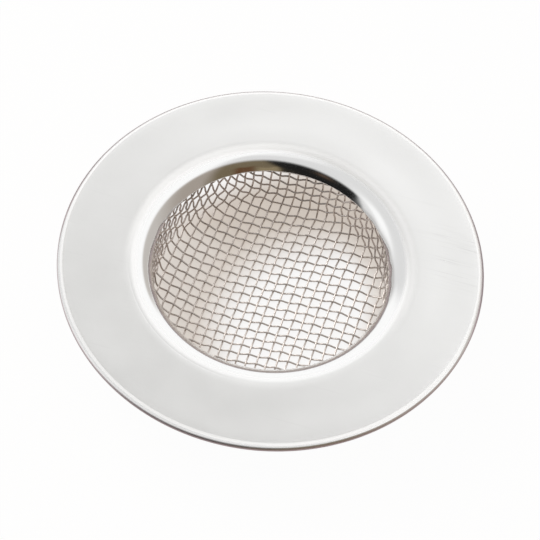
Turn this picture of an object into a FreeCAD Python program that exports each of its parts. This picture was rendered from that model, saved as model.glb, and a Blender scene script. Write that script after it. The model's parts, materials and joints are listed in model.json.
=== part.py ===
"""A drop-in sink strainer: a hemmed sheet rim with a drawn throat, a welded retaining ring under it,
and a shallow basket woven from round wires whose hem is trapped between the two.
Millimetres, +Z up, origin on the axis at the height of the basket's lowest wires."""
import FreeCAD, Part
import math
import os
from FreeCAD import Vector

# Rim
rim_diameter = 90.0
rim_sheet = 0.4
throat_diameter = 50.0
shoulder_radius = 5.6
shoulder_turn = math.radians(57.0)
collar_lip = 0.1
hem_inner_radius = 0.8
hem_lip = 1.2

# Retaining ring
ring_sheet = 0.4
ring_skirt = 0.6
ring_bend_radius = 0.3
ring_leg = 1.0
ring_weld_width = 2.6
joggle_radius = 0.4
joggle_turn = math.radians(45.0)

# Basket
basket_depth = 14.0
bottom_radius = 22.6
corner_radius = 2.2
lip_bend_radius = 1.5
hem_turn = math.radians(15.0)

# Woven cloth
wire_diameter = 0.4
warp_pitch = 2.09
weft_pitch = 2.18
warp_shift = 0.63
weft_shift = -0.46
warp_lean = math.radians(3.2)
weft_lean = math.radians(5.0)
warp_spread = 0.3
warp_open = 1.0
warp_bow = 0.6
weft_spread = 0.75
weft_bow = 1.5
weft_sway = 3.1
bow_fade_share = 0.15
crossing_gap = 0.075
seat_gap = 0.05
weave_bend_radius = 2.2
draw_radius_share = 1.05

# How finely a wire's route is settled
run_share = 0.45
least_turn = math.radians(2.0)
settling_passes = 12
end_search_passes = 40
steps_per_cell = 2
collar_side = 1

# Sizes that follow from the ones above
wire_radius = wire_diameter / 2
weave_rise = (wire_diameter + crossing_gap) / 2
hem_rise = weave_rise + crossing_gap
channel = 2 * (hem_rise + wire_radius + seat_gap)
throat_radius = throat_diameter / 2
quarter_turn = math.pi / 2
half_turn = math.pi
cloth_floor = weave_rise + wire_radius
rim_top = cloth_floor + basket_depth
collar_drop = shoulder_radius * (1 - math.cos(shoulder_turn)) + collar_lip * math.sin(shoulder_turn)
collar_edge = rim_top - collar_drop


def under_collar(depth):
    """The point this deep under the collar's lower edge, square to the sheet there."""
    return throat_radius + depth * math.sin(shoulder_turn), collar_edge - depth * math.cos(shoulder_turn)


cloth_depth = rim_sheet + channel / 2
cloth_radius, cloth_top = under_collar(cloth_depth)
hem_radius = shoulder_radius - cloth_depth
draw_radius = cloth_radius * draw_radius_share


def section_point(radius, height):
    """A point of a section, in the plane that is turned about the axis."""
    return Vector(radius, 0, height)


def sheet_section(start, heading, steps, thickness):
    """The face of a bent sheet. The walk follows the left skin from start, and the metal lies to its right.
    A step is (run, length) or (turn, radius of the left skin, angle), with turns to the right below zero."""
    left, right = [], []
    place = section_point(*start)

    def across(angle):
        return section_point(math.sin(angle), -math.cos(angle))

    first_right = place + across(heading) * thickness
    for step in steps:
        if step[0] == "run":
            onward = place + section_point(math.cos(heading), math.sin(heading)) * step[1]
            offset = across(heading) * thickness
            left.append(Part.LineSegment(place, onward).toShape())
            right.append(Part.LineSegment(place + offset, onward + offset).toShape())
        else:
            radius, angle = step[1:]
            side = -math.copysign(1, angle)
            centre = place + across(heading) * radius * side
            headings = [heading, heading + angle / 2, heading + angle]
            skin = [centre - across(h) * radius * side for h in headings]
            back = [point + across(h) * thickness for point, h in zip(skin, headings)]
            left.append(Part.Arc(*skin).toShape())
            right.append(Part.Arc(*back).toShape())
            onward = skin[-1]
            heading += angle
        place = onward
    last_right = place + across(heading) * thickness
    end_cap = Part.LineSegment(place, last_right).toShape()
    start_cap = Part.LineSegment(first_right, section_point(*start)).toShape()
    return Part.Face(Part.Wire(left + [end_cap] + right[::-1] + [start_cap]))


def turned(face):
    """The full ring that a section makes about the axis."""
    return face.revolve(Vector(0, 0, 0), Vector(0, 0, 1), math.degrees(2 * math.pi))


def make_rim():
    """One sheet: from the collar's edge over the shoulder, out along the flange and under in a flat hem."""
    hem_outer_radius = hem_inner_radius + rim_sheet
    shoulder_reach = collar_lip * math.cos(shoulder_turn) + shoulder_radius * math.sin(shoulder_turn)
    flange_run = rim_diameter / 2 - hem_outer_radius - throat_radius - shoulder_reach
    steps = [
        ("run", collar_lip),
        ("turn", shoulder_radius, -shoulder_turn),
        ("run", flange_run),
        ("turn", hem_outer_radius, -half_turn),
        ("run", hem_lip),
    ]
    return turned(sheet_section((throat_radius, collar_edge), shoulder_turn, steps, rim_sheet))


def make_retaining_ring():
    """A pressed ring: an upright skirt, a bend that follows the shoulder a channel's width under it,
    and a joggle up to the flange beyond the hem."""
    skin_inset = rim_sheet + channel
    skirt_turn = quarter_turn - shoulder_turn
    skirt_bend = ring_bend_radius + ring_sheet
    joggle_outer_radius = joggle_radius + ring_sheet
    bends_rise = (joggle_radius + joggle_outer_radius) * (1 - math.cos(joggle_turn))
    joggle_run = (channel - bends_rise) / math.sin(joggle_turn)
    steps = [
        ("run", ring_skirt),
        ("turn", skirt_bend, -skirt_turn),
        ("run", collar_lip),
        ("turn", shoulder_radius - skin_inset, -shoulder_turn),
        ("run", ring_leg),
        ("turn", joggle_radius, joggle_turn),
        ("run", joggle_run),
        ("turn", joggle_outer_radius, -joggle_turn),
        ("run", ring_weld_width),
    ]
    bend_radius, bend_top = under_collar(skin_inset)
    start = (bend_radius - skirt_bend * (1 - math.cos(skirt_turn)),
             bend_top - skirt_bend * math.sin(skirt_turn) - ring_skirt)
    return turned(sheet_section(start, quarter_turn, steps, ring_sheet))


# The middle surface of the cloth, walked outwards from the axis: flat bottom, corner, leaning wall,
# the bend under the collar's edge, the collar's lip and the hem that follows the shoulder outwards.
# The wall touches the circles of the corner and of the bend under the collar, which lie on either side of it
bends_reach = cloth_radius + lip_bend_radius * math.sin(shoulder_turn) - bottom_radius
bends_climb = cloth_top - lip_bend_radius * math.cos(shoulder_turn) - cloth_floor - corner_radius
bends_apart = math.hypot(bends_reach, bends_climb)
wall_tilt = math.asin((corner_radius + lip_bend_radius) / bends_apart)
wall_lean = math.atan2(bends_climb, bends_reach) + wall_tilt
wall_run = bends_apart * math.cos(wall_tilt)
cup_steps = [
    ("run", bottom_radius),
    ("turn", corner_radius, wall_lean),
    ("run", wall_run),
    ("turn", lip_bend_radius, shoulder_turn - wall_lean),
    ("run", collar_lip),
    ("turn", hem_radius, -hem_turn),
]


def step_length(step):
    """How much cloth a step of the cup takes up."""
    return step[1] if step[0] == "run" else step[1] * abs(step[2])


cloth_reach = sum(step_length(step) for step in cup_steps)
collar_reach = sum(step_length(step) for step in cup_steps[:4])
hem_start = collar_reach - wire_diameter


def cup_profile(reach):
    """Radius, height and heading of the cup at a distance from the axis, measured along the cloth."""
    radius, height, heading = 0.0, cloth_floor, 0.0
    left = reach
    for step in cup_steps:
        part = min(left, step_length(step))
        if step[0] == "run":
            radius += part * math.cos(heading)
            height += part * math.sin(heading)
        else:
            bend = math.copysign(step[1], step[2])
            onward = heading + part / bend
            radius += bend * (math.sin(onward) - math.sin(heading))
            height += bend * (math.cos(heading) - math.cos(onward))
            heading = onward
        left -= part
    return radius, height, heading


def spread(distance):
    """The length round the wall that a wire takes up when it leaves the bottom this far from the axis."""
    inside = min(distance, draw_radius) / draw_radius
    return draw_radius / 2 * (math.asin(inside) + inside * math.sqrt(1 - inside * inside))


def climb(distance):
    """The height up the wall that a wire gains at this distance from the axis."""
    if distance > draw_radius:
        return draw_radius / 2 + distance - draw_radius
    return distance * distance / (2 * draw_radius)


def drape(across, along):
    """Where a point of flat cloth lies on the cup: its distance along the cloth and its bearing from +Y.
    On the wall both sets of wires keep their spacing, and the squares between them close up into diamonds."""
    flat_distance = math.hypot(across, along)
    if flat_distance <= draw_radius:
        return flat_distance, math.atan2(across, along)
    reach = draw_radius / 2 + climb(abs(across)) + climb(abs(along))
    bearing = math.pi / 4 + (spread(abs(across)) - spread(abs(along))) / draw_radius
    if along < 0:
        bearing = math.pi - bearing
    return reach, math.copysign(bearing, across)


def edge_share(way):
    """A distance along a thread in radii of the bottom, which levels off up the wall."""
    radii = way / bottom_radius
    beyond = abs(radii) - 1
    if beyond <= 0:
        return radii
    return math.copysign(1 + bow_fade_share * math.tanh(beyond / bow_fade_share), radii)


def flat_place(weft_way, warp_way):
    """A point of the flat cloth, from distances along the two thread directions. Drawing has left both rows
    leaning, bowed and wider on one side, the weft rows swayed and the warp rows opened towards the edges."""
    aside = edge_share(weft_way)
    ahead = edge_share(warp_way)
    weft = weft_way + warp_spread * aside ** 2 + warp_open * aside ** 3 + warp_bow * ahead ** 2
    warp = warp_way + weft_spread * ahead ** 2 + weft_bow * aside ** 2 - weft_sway * aside ** 3
    across = weft * math.cos(weft_lean) + warp * math.sin(warp_lean)
    along = weft * math.sin(weft_lean) + warp * math.cos(warp_lean)
    return across, along


def cloth_point(weft_way, warp_way, lift):
    """A point on the cup, lifted off the cloth's middle surface towards the inside of the basket."""
    reach, bearing = drape(*flat_place(weft_way, warp_way))
    radius, height, heading = cup_profile(reach)
    radius -= lift * math.sin(heading)
    height += lift * math.cos(heading)
    return Vector(radius * math.sin(bearing), radius * math.cos(bearing), height)


def cloth_distance(weft_way, warp_way):
    """How far from the axis a point of the cloth lies, along the cloth."""
    return drape(*flat_place(weft_way, warp_way))[0]


def warp_place(number, way):
    """Thread distances of a point on a warp wire."""
    return warp_shift + number * warp_pitch, way


def weft_place(number, way):
    """Thread distances of a point on a weft wire."""
    return way, weft_shift + number * weft_pitch


def end_of_wire(place, number, inner, outer):
    """The distance along a wire, between two others, at which the cloth is cut off."""
    for _ in range(end_search_passes):
        middle = (inner + outer) / 2
        if cloth_distance(*place(number, middle)) < cloth_reach:
            inner = middle
        else:
            outer = middle
    return inner


def wire_targets(place, number, pitch, shift, side):
    """The points that a wire passes through. In the basket it goes over and under in turn at the crossings,
    and in the channel behind the collar it keeps to its own side of the cloth."""
    step = pitch / steps_per_cell
    targets = {}

    def crossing_lift(crossing):
        if cloth_distance(*place(number, shift + crossing * pitch)) > hem_start:
            return side * hem_rise
        return side * weave_rise * (-1) ** (crossing + number)

    def lift(count):
        crossing = math.floor(count / steps_per_cell)
        part = count / steps_per_cell - crossing
        return crossing_lift(crossing) * (1 - part) + crossing_lift(crossing + 1) * part

    for way_sign in (1, -1):
        count = 0 if way_sign > 0 else -1
        while cloth_distance(*place(number, shift + count * step)) < cloth_reach:
            targets[count] = cloth_point(*place(number, shift + count * step), lift(count))
            count += way_sign
        inner = shift + (count - way_sign) * step
        end = end_of_wire(place, number, inner, shift + count * step)
        targets[count] = cloth_point(*place(number, end), lift((end - shift) / step))
    return [targets[count] for count in sorted(targets)]


def turn_at(before, corner, after):
    """The angle by which a route turns at a corner."""
    return (corner - before).getAngle(after - corner)


def without_straight_corners(points):
    """The same route without the corners at which it hardly turns."""
    kept = [points[0]]
    for corner, after in zip(points[1:], points[2:]):
        if turn_at(kept[-1], corner, after) > least_turn:
            kept.append(corner)
    return kept + [points[-1]]


def corner_arc(before, corner, after):
    """The ends and middle of the arc that rounds a corner, as large as the bend or the shorter run allows."""
    back = before - corner
    onward = after - corner
    half = turn_at(before, corner, after) / 2
    reach = min(weave_bend_radius * math.tan(half), run_share * min(back.Length, onward.Length))
    radius = reach / math.tan(half)
    back.normalize()
    onward.normalize()
    inwards = (back + onward).normalize()
    middle = corner + inwards * radius * (1 / math.cos(half) - 1)
    return corner + back * reach, middle, corner + onward * reach


def settled_corners(targets):
    """Corners moved out until the arcs that round them pass through the targets."""
    corners = list(targets)
    for _ in range(settling_passes):
        for k in range(1, len(corners) - 1):
            middle = corner_arc(*corners[k - 1:k + 2])[1]
            corners[k] = corners[k] + targets[k] - middle
    return corners


def round_wire(targets):
    """A round wire on straight runs and tangent arcs, with square ends."""
    corners = settled_corners(without_straight_corners(targets))
    edges = []
    place = corners[0]
    for k in range(1, len(corners) - 1):
        start, middle, end = corner_arc(*corners[k - 1:k + 2])
        edges.append(Part.LineSegment(place, start).toShape())
        edges.append(Part.Arc(start, middle, end).toShape())
        place = end
    edges.append(Part.LineSegment(place, corners[-1]).toShape())
    section = Part.Wire(Part.makeCircle(wire_radius, corners[0], corners[1] - corners[0]))
    return Part.Wire(edges).makePipeShell([section], True, False)


def shows_below_collar(place, number):
    """Whether a wire dips out of the channel into the open basket."""
    return cloth_distance(*place(number, 0.0)) < hem_start


def wire_pairs(name, place, pitch, crossing_pitch, crossing_shift, side):
    """The wires of one direction by node: the middle one, then those that lie as far out on either side."""
    nodes = {}
    for number in range(math.ceil(cloth_reach / pitch)):
        wires = []
        for signed in sorted({number, -number}):
            if shows_below_collar(place, signed):
                wires.append(round_wire(wire_targets(place, signed, crossing_pitch, crossing_shift, side)))
        if wires:
            nodes[f"{name}_{number:02d}"] = Part.makeCompound(wires)
    return nodes


def main():
    """Writes one STEP file for each piece or pair of like pieces."""
    nodes = {"rim": make_rim(), "retaining_ring": make_retaining_ring()}
    nodes.update(wire_pairs("warp_wires", warp_place, warp_pitch, weft_pitch, weft_shift, collar_side))
    nodes.update(wire_pairs("weft_wires", weft_place, weft_pitch, warp_pitch, warp_shift, -collar_side))
    os.makedirs("parts", exist_ok=True)
    for name, shape in nodes.items():
        shape.exportStep(f"parts/{name}.step")
        print(name, len(shape.Solids), "solids", round(shape.Volume, 3), "mm3", shape.isValid())


main()
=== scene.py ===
"""A drop-in sink strainer dressed for rendering: a satin rim with a polished throat, a pressed ring under it
and a basket woven from round steel wires. Lengths are metres, in the frame of the packed solids."""

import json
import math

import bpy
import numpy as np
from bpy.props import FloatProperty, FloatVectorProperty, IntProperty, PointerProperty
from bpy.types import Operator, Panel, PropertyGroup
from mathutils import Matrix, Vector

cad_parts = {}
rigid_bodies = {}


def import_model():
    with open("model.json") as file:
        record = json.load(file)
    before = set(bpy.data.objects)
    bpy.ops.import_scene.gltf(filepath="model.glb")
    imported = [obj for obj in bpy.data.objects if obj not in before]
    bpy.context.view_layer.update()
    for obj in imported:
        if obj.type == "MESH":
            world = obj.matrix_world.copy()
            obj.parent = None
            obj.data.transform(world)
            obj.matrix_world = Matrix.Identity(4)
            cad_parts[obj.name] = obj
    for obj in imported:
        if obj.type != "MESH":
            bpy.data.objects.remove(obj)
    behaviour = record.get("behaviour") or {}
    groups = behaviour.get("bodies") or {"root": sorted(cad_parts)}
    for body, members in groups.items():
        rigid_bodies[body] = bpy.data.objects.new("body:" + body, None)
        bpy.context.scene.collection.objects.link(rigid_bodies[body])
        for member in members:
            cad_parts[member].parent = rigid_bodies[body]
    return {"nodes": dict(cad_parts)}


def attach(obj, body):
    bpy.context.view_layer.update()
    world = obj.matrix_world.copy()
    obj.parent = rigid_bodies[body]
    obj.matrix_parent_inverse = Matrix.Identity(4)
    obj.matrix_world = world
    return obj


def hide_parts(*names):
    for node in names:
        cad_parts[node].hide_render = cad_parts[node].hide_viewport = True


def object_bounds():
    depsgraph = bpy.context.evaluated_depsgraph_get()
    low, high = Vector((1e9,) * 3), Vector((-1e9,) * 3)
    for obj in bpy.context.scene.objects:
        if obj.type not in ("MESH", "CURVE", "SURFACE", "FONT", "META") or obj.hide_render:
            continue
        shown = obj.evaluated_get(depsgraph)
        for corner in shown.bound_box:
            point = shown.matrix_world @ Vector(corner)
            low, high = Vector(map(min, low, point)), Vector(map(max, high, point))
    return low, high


bl_info = {
    "name": "Woven sink strainer",
    "version": (1, 0, 0),
    "blender": (4, 5, 0),
    "location": "View3D > Sidebar > Strainer",
    "description": "Builds the rim, the ring and the woven basket of a sink strainer, and a white studio",
    "category": "Object",
}

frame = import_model()
cad_low, cad_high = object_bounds()

BODY = "root"
PER_METRE = 1000.0
QUARTER_TURN = math.pi / 2
FULL_TURN = 2 * math.pi


def size(name, description, default):
    """A length that a user may change."""
    return FloatProperty(name=name, description=description, default=default, unit="LENGTH", precision=5)


def turn(name, description, degrees):
    """An angle that a user may change."""
    return FloatProperty(name=name, description=description, default=math.radians(degrees), subtype="ANGLE")


def share(name, description, default):
    """A plain number that a user may change."""
    return FloatProperty(name=name, description=description, default=default)


def colour(name, description, default):
    """A colour that a user may change."""
    return FloatVectorProperty(name=name, description=description, default=default, subtype="COLOR", size=3)


class RimSizes(PropertyGroup):
    """The stamped rim."""

    outer_radius: size("Outer radius", "From the axis to the outside of the hem", cad_high.x)
    top: size("Top", "Height of the flange's upper skin", cad_high.z)
    sheet: size("Sheet", "Thickness of the steel sheet", 0.0004)
    throat_radius: size("Throat radius", "From the axis to the collar's lower edge", 0.025)
    shoulder_radius: size("Shoulder radius", "Round of the drawn shoulder", 0.0056)
    shoulder_turn: turn("Shoulder turn", "How far the shoulder turns down", 57.0)
    collar_lip: size("Collar lip", "Straight run at the collar's lower edge", 0.0001)
    hem_inner_radius: size("Hem inner radius", "Inside round of the hemmed outer edge", 0.0008)
    hem_lip: size("Hem lip", "Flat run of the hem under the flange", 0.0012)
    edge_wander: size("Edge wander", "How far the collar's cut edge wanders up and down", 0.00005)
    dish: size("Dish", "How far the flange is out of flat", 0.00003)


class RingSizes(PropertyGroup):
    """The pressed ring under the rim."""

    sheet: size("Sheet", "Thickness of the ring's sheet", 0.0004)
    skirt: size("Skirt", "Upright run at the ring's lower edge", 0.0006)
    bend_radius: size("Bend radius", "Inside round of the bend above the skirt", 0.0003)
    leg: size("Leg", "Flat run between the shoulder and the joggle", 0.001)
    weld_width: size("Weld width", "Flat run that is welded to the flange", 0.0026)
    joggle_radius: size("Joggle radius", "Inside round of the joggle's bends", 0.0004)
    joggle_turn: turn("Joggle turn", "Slope of the joggle", 45.0)


class ClothSizes(PropertyGroup):
    """The woven basket."""

    wire_diameter: size("Wire", "Diameter of the wires", 0.0004)
    crossing_gap: size("Crossing gap", "Room between two wires that cross", 0.000075)
    seat_gap: size("Seat gap", "Room between the hem's wires and the sheets round them", 0.00005)
    warp_pitch: size("Warp pitch", "Spacing of the wires that run along Y", 0.00209)
    weft_pitch: size("Weft pitch", "Spacing of the wires that run along X", 0.00218)
    warp_shift: size("Warp shift", "Place of the middle warp wire", 0.00063)
    weft_shift: size("Weft shift", "Place of the middle weft wire", -0.00046)
    warp_lean: turn("Warp lean", "How far the warp rows turn from Y", 3.2)
    weft_lean: turn("Weft lean", "How far the weft rows turn from X", 5.0)
    warp_spread: size("Warp spread", "How far the warp rows crowd on the left", 0.0003)
    warp_open: size("Warp open", "How far the warp rows open towards both sides", 0.001)
    warp_bow: size("Warp bow", "How far the warp rows bow at front and back", 0.0006)
    weft_spread: size("Weft spread", "How far the weft rows crowd at the front", 0.00075)
    weft_bow: size("Weft bow", "How far the weft rows bow at both sides", 0.0015)
    weft_sway: size("Weft sway", "How far the weft rows rise on the left and sink on the right", 0.0031)
    bow_fade: share("Bow fade", "How soon the bows level off up the wall, in bottom radii", 0.15)
    bottom_radius: size("Bottom radius", "Radius of the flat bottom", 0.0226)
    corner_radius: size("Corner radius", "Round between the bottom and the wall", 0.0022)
    lip_bend_radius: size("Lip bend radius", "Round of the cloth under the collar's edge", 0.0015)
    hem_turn: turn("Hem turn", "How far the hem follows the shoulder", 15.0)
    draw_share: share("Draw", "Radius at which the flat cloth starts to shear, in cup radii", 1.05)
    wander: size("Wander", "How far the wires stray from their even places", 0.00007)
    seed: IntProperty(name="Seed", description="Picks one of the chance arrangements", default=12)


class Finishes(PropertyGroup):
    """Colours of the metals and of the table."""

    satin: colour("Satin", "Flange of the rim", (0.955, 0.955, 0.95))
    polished: colour("Polished", "Drawn shoulder, collar and outer edge", (0.96, 0.96, 0.955))
    # Painted reflection: the mauve of the table's shade as the hem's outer turn mirrors it.
    edge: colour("Edge", "Outermost turn of the rim's hem", (0.84, 0.77, 0.77))
    ring: colour("Ring", "Pressed ring", (0.70, 0.67, 0.63))
    wire: colour("Wire", "Woven wires", (0.82, 0.75, 0.70))
    table: colour("Table", "Table under the strainer", (0.82, 0.74, 0.67))
    # Painted shade: the beige that the table's glow shows inside the basket.
    shade: colour("Shade", "Table inside the basket, where the collar shades it", (0.72, 0.65, 0.58))
    # Painted shadow: the darker tone that the metal mirrors from the table close to the strainer.
    under: colour("Under", "Table close to the strainer, as the metal mirrors it", (0.44, 0.37, 0.38))


class Studio(PropertyGroup):
    """Camera and light."""

    bearing: turn("Bearing", "Where the camera stands, from +X", -79.0)
    elevation: turn("Elevation", "How high the camera stands", 56.75)
    roll: turn("Roll", "How far the camera leans to its left", 5.51)
    distance: size("Distance", "From the middle of the rim to the camera", 0.6)
    lens: share("Lens", "Focal length in millimetres", 190.26)
    aim_right: size("Aim right", "How far the camera stands right of the rim's middle", -0.00028)
    aim_down: size("Aim down", "How far the camera stands below the rim's middle", 0.00184)
    table_reach: size("Table", "Half the width of the table", 1.5)
    key_power: share("Key power", "Watts of the soft key lamp", 2.2)
    key_bearing: turn("Key bearing", "Where the key lamp stands, left of straight behind", 55.5)
    key_elevation: turn("Key elevation", "How high the key lamp stands", 34.6)
    key_distance: size("Key distance", "From the strainer to the key lamp", 0.6)
    key_size: size("Key size", "Width of the key lamp", 0.45)
    top_strength: share("Top strength", "Strength of the light from above on the rim", 1.2)
    top_spread: turn("Top spread", "How wide the light from above is", 60.0)


def sizes():
    """The groups of settings on the scene."""
    scene = bpy.context.scene
    return scene.strainer_rim, scene.strainer_ring, scene.strainer_cloth


# Surfaces

ARC_STEP = math.radians(4.0)
RUN_STEP = 0.002
CAP_STEPS = 5
CAP_BULGE_SHARE = 0.3


def sheet_walk(start, heading, steps):
    """Middle line of a bent sheet in the plane of radius and height, as radius, height and heading.
    A run goes straight on. A turn of radius R adds R (sin after - sin before) to the radius and
    R (cos before - cos after) to the height, with R below zero for a turn to the right."""
    radius, height = start
    legs = [np.array([[radius], [height], [heading]])]
    for step in steps:
        if step[0] == "run":
            way = np.linspace(0, step[1], max(2, math.ceil(step[1] / RUN_STEP) + 1))[1:]
            headings = np.full_like(way, heading)
            radii = radius + way * math.cos(heading)
            heights = height + way * math.sin(heading)
        else:
            bend = math.copysign(step[1], step[2])
            count = max(2, math.ceil(abs(step[2]) / ARC_STEP) + 1)
            headings = np.linspace(heading, heading + step[2], count)[1:]
            radii = radius + bend * (np.sin(headings) - math.sin(heading))
            heights = height + bend * (math.cos(heading) - np.cos(headings))
        radius, height, heading = radii[-1], heights[-1], headings[-1]
        legs.append(np.stack([radii, heights, headings]))
    return np.concatenate(legs, axis=1)


def sheet_outline(walk, thickness):
    """Closed outline of a sheet: its left skin, a crowned end, its right skin back and the other end.
    A skin is the middle line moved half a thickness square to the heading; an end is half an ellipse."""
    middle = walk[:2]
    headings = walk[2]
    half = thickness / 2
    sideways = np.stack([-np.sin(headings), np.cos(headings)])
    onward = np.stack([np.cos(headings), np.sin(headings)])
    swing = np.linspace(0, math.pi, CAP_STEPS + 2)[1:-1]
    bulge = half * CAP_BULGE_SHARE

    def crowned(end, sign):
        across = sideways[:, end, None] * np.cos(swing) * sign
        outwards = onward[:, end, None] * np.sin(swing) * sign
        return middle[:, end, None] + half * across + bulge * outwards

    left = middle + half * sideways
    right = middle - half * sideways
    return np.concatenate([left, crowned(-1, 1), right[:, ::-1], crowned(0, -1)], axis=1).T


def turned_outline(outline, around):
    """An outline carried round the axis: x = radius cos angle, y = radius sin angle, height as it is."""
    angle = np.linspace(0, FULL_TURN, around, endpoint=False)[:, None]
    radius, height = outline[None, :, 0], outline[None, :, 1]
    return np.stack([radius * np.cos(angle), radius * np.sin(angle), height + 0 * angle], axis=-1)


def grid_faces(rows, columns, wrap_rows):
    """Quads of a grid whose columns close on themselves, and whose rows do too if asked."""
    row = np.arange(rows if wrap_rows else rows - 1)[:, None]
    column = np.arange(columns)[None, :]
    next_row = (row + 1) % rows
    next_column = (column + 1) % columns
    corners = [row * columns + column, row * columns + next_column,
               next_row * columns + next_column, next_row * columns + column]
    return np.stack(corners, axis=-1).reshape(-1, 4)


def mesh_piece(name, points, face_sets):
    """An object at the origin from points and sets of faces, each set with one number of corners."""
    corners = np.concatenate([faces.ravel() for faces in face_sets])
    counts = np.concatenate([np.full(len(faces), faces.shape[1]) for faces in face_sets])
    mesh = bpy.data.meshes.new(name)
    mesh.vertices.add(len(points))
    mesh.vertices.foreach_set("co", points.astype(np.float32).ravel())
    mesh.loops.add(len(corners))
    mesh.loops.foreach_set("vertex_index", corners.astype(np.int32))
    mesh.polygons.add(len(counts))
    mesh.polygons.foreach_set("loop_start", (np.cumsum(counts) - counts).astype(np.int32))
    mesh.update(calc_edges=True)
    mesh.validate()
    mesh.shade_smooth()
    piece = bpy.data.objects.new(name, mesh)
    bpy.context.scene.collection.objects.link(piece)
    return piece


def sheet_piece(name, points):
    """An object from the points of a sheet that is carried round the axis."""
    faces = grid_faces(points.shape[0], points.shape[1], True)
    return mesh_piece(name, points.reshape(-1, 3), [faces])


def seat(piece, finish, slot, *nodes):
    """Gives a piece its finish, and puts it in the place of the solids that it stands for."""
    piece.data.materials.append(finish)
    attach(piece, BODY)
    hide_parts(*nodes)


def even_waves(generator, count, longest, shortest):
    """Radians per metre along X and Y, and phases, of chance plane waves with lengths between two limits."""
    lengths = np.exp(generator.uniform(math.log(shortest), math.log(longest), count))
    ways = generator.uniform(0, FULL_TURN, count)
    phases = generator.uniform(0, FULL_TURN, count)
    return FULL_TURN / lengths * np.cos(ways), FULL_TURN / lengths * np.sin(ways), phases


def wave_sum(waves, across, along):
    """Sum of plane waves at some places, scaled to about one: sin(across kx + along ky + phase) for each."""
    turns = across[..., None] * waves[0] + along[..., None] * waves[1] + waves[2]
    return np.sin(turns).sum(axis=-1) / math.sqrt(len(waves[2]))


# Rim and ring

RIM_PIECE = "stamped_rim"
RIM_AROUND = 640
RING_AROUND = 320
EDGE_WAVES = 9
EDGE_TURNS = (3, 40)
DISH_WAVES = 5


def collar_edge_height(rim):
    """Height of the collar's lower edge."""
    shoulder_drop = rim.shoulder_radius * (1 - math.cos(rim.shoulder_turn))
    return rim.top - (shoulder_drop + rim.collar_lip * math.sin(rim.shoulder_turn))


def under_collar(rim, depth):
    """The point this deep under the collar's lower edge, square to the sheet there."""
    radius = rim.throat_radius + depth * math.sin(rim.shoulder_turn)
    return radius, collar_edge_height(rim) - depth * math.cos(rim.shoulder_turn)


def channel_width(cloth):
    """Room between the shoulder and the ring: the hem's two layers of wire and their gaps."""
    hem_rise = weave_rise(cloth) + cloth.crossing_gap
    return 2 * (hem_rise + cloth.wire_diameter / 2 + cloth.seat_gap)


def weave_rise(cloth):
    """How far a wire goes off the middle of the cloth at a crossing."""
    return (cloth.wire_diameter + cloth.crossing_gap) / 2


def rim_points(rim, generator):
    """The rim's sheet: from the collar's edge over the shoulder, out along the flange and under in the hem,
    carried round the axis. The flange sinks by slow waves, and the collar's edge wanders round the throat."""
    half = rim.sheet / 2
    hem_radius = rim.hem_inner_radius + half
    shoulder = rim.shoulder_radius - half
    reach = rim.collar_lip * math.cos(rim.shoulder_turn) + rim.shoulder_radius * math.sin(rim.shoulder_turn)
    flange_run = rim.outer_radius - rim.hem_inner_radius - rim.sheet - rim.throat_radius - reach
    steps = [
        ("run", rim.collar_lip),
        ("turn", shoulder, -rim.shoulder_turn),
        ("run", flange_run),
        ("turn", hem_radius, -math.pi),
        ("run", rim.hem_lip),
    ]
    walk = sheet_walk(under_collar(rim, half), rim.shoulder_turn, steps)
    points = turned_outline(sheet_outline(walk, rim.sheet), RIM_AROUND)
    x, y = points[..., 0], points[..., 1]
    distance = np.hypot(x, y)
    angle = np.arctan2(y, x)
    flange_start = rim.throat_radius + reach
    flat_share = np.clip((distance - flange_start) / (rim.outer_radius - flange_start), 0, 1)
    swell = wave_sum(even_waves(generator, DISH_WAVES, rim.outer_radius * 2, rim.throat_radius), x, y)
    points[..., 2] -= rim.dish * (1 + swell) * np.sin(math.pi * flat_share) ** 2
    turns = generator.integers(*EDGE_TURNS, EDGE_WAVES)
    phases = generator.uniform(0, FULL_TURN, EDGE_WAVES)
    stray = np.cos(angle[..., None] * turns + phases).sum(axis=-1) / math.sqrt(EDGE_WAVES)
    edge_share = np.clip(1 - (distance - rim.throat_radius) / (2 * rim.sheet), 0, 1)
    points[..., 2] += rim.edge_wander * stray * edge_share
    return points


def ring_points(rim, ring, cloth):
    """The ring's sheet: an upright skirt, a bend that follows the shoulder a channel's width under it,
    and a joggle up to the flange's lower skin."""
    half = ring.sheet / 2
    inset = rim.sheet + channel_width(cloth)
    skirt_turn = QUARTER_TURN - rim.shoulder_turn
    skirt_bend = ring.bend_radius + half
    upper_bend = ring.joggle_radius + half
    rise = 2 * upper_bend * (1 - math.cos(ring.joggle_turn))
    steps = [
        ("run", ring.skirt),
        ("turn", skirt_bend, -skirt_turn),
        ("run", rim.collar_lip),
        ("turn", rim.shoulder_radius - inset - half, -rim.shoulder_turn),
        ("run", ring.leg),
        ("turn", upper_bend, ring.joggle_turn),
        ("run", (channel_width(cloth) - rise) / math.sin(ring.joggle_turn)),
        ("turn", upper_bend, -ring.joggle_turn),
        ("run", ring.weld_width),
    ]
    bend_radius, bend_top = under_collar(rim, inset + half)
    start = (bend_radius - skirt_bend * (1 - math.cos(skirt_turn)),
             bend_top - skirt_bend * math.sin(skirt_turn) - ring.skirt)
    walk = sheet_walk(start, QUARTER_TURN, steps)
    return turned_outline(sheet_outline(walk, ring.sheet), RING_AROUND)


# Woven basket

WIRE_STEPS = 300
WIRE_SIDES = 10
SEARCH_PASSES = 40
STRAY_WAVES = 10
STRAY_LONGEST = 0.03
STRAY_SHORTEST = 0.007
# Tone ranges of the wires: warp wires painted lighter and weft wires painted darker, as painted light and
# shade, with a chance tone within each range.
WARP_TONES_PAINTED_LIGHT = (0.7, 1.0)
WEFT_TONES_PAINTED_SHADE = (0.0, 0.4)
STEPS_BEFORE_HEM = 4


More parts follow.
